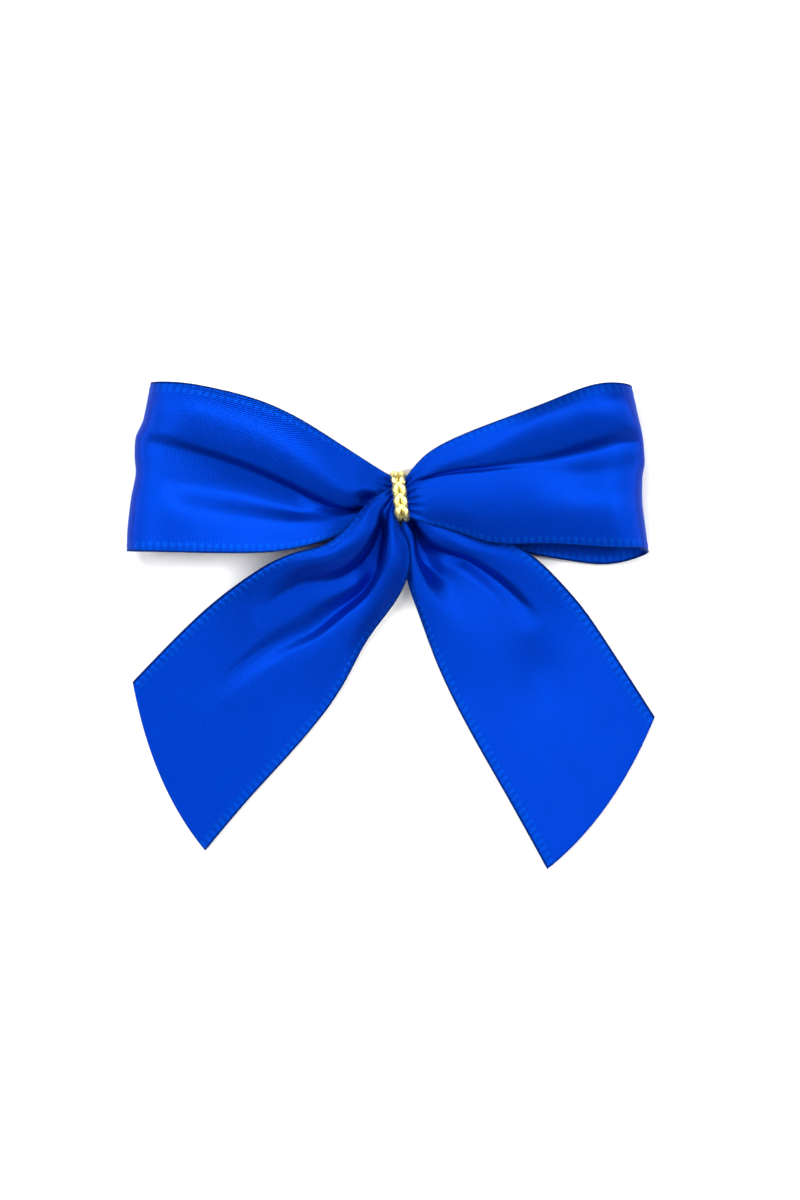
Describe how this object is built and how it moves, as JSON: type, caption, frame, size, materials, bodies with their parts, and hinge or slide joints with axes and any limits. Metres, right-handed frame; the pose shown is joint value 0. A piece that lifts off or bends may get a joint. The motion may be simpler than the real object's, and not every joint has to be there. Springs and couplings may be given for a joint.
{
  "type": "gift bow",
  "caption": "Flat satin-ribbon gift bow: side loops and slant-cut tails gathered by a cord tie, with a self-adhesive pad and peel-off liner behind.",
  "frame": {"origin": "centre of the release liner's underside, below the knot, where the bow sticks to a gift", "axes": "+X to the right across the loops, +Y away from the tails, +Z out of the gift towards the viewer"},
  "size_m": [0.0808, 0.0745, 0.0095],
  "materials": {
    "blue_satin": "satin",
    "gold_cord": "polished",
    "white_foam": "matte",
    "adhesive": "gloss",
    "liner_paper": "satin"
  },
  "bodies": {
    "knot": {"front_crossing": "blue_satin", "middle_crossing": "blue_satin", "back_crossing": "blue_satin", "tie_band": "gold_cord", "tie_knot": "gold_cord", "foam_pad": "white_foam", "adhesive_front": "adhesive", "adhesive_back": "adhesive"},
    "left_loop": {"left_loop": "blue_satin"},
    "right_loop": {"right_loop": "blue_satin"},
    "left_tail": {"left_tail": "blue_satin"},
    "right_tail": {"right_tail": "blue_satin"},
    "liner": {"release_liner": "liner_paper"}
  },
  "joints": [
    {"name": "left_loop_lift", "type": "hinge", "parent": "knot", "child": "left_loop", "pos_m": [-0.002, 0.0016, 0.00475], "axis": [0.8402, 0.5089, -0.1872], "range_deg": [0, 40]},
    {"name": "right_loop_lift", "type": "hinge", "parent": "knot", "child": "right_loop", "pos_m": [0.0015, 0.0012, 0.00595], "axis": [0.8746, -0.4603, 0.1519], "range_deg": [0, 40]},
    {"name": "left_tail_lift", "type": "hinge", "parent": "knot", "child": "left_tail", "pos_m": [-0.01302, -0.01519, 0.0046], "axis": [-0.7593, 0.6508, 0], "range_deg": [0, 60]},
    {"name": "right_tail_lift", "type": "hinge", "parent": "knot", "child": "right_tail", "pos_m": [0.01124, -0.01654, 0.00245], "axis": [-0.8271, -0.5621, 0], "range_deg": [0, 60]},
    {"name": "liner_peel", "type": "hinge", "parent": "knot", "child": "liner", "pos_m": [-0.00585, -0.00135, 0.0001], "axis": [-0.225, 0.9744, 0], "range_deg": [0, 75]}
  ]
}
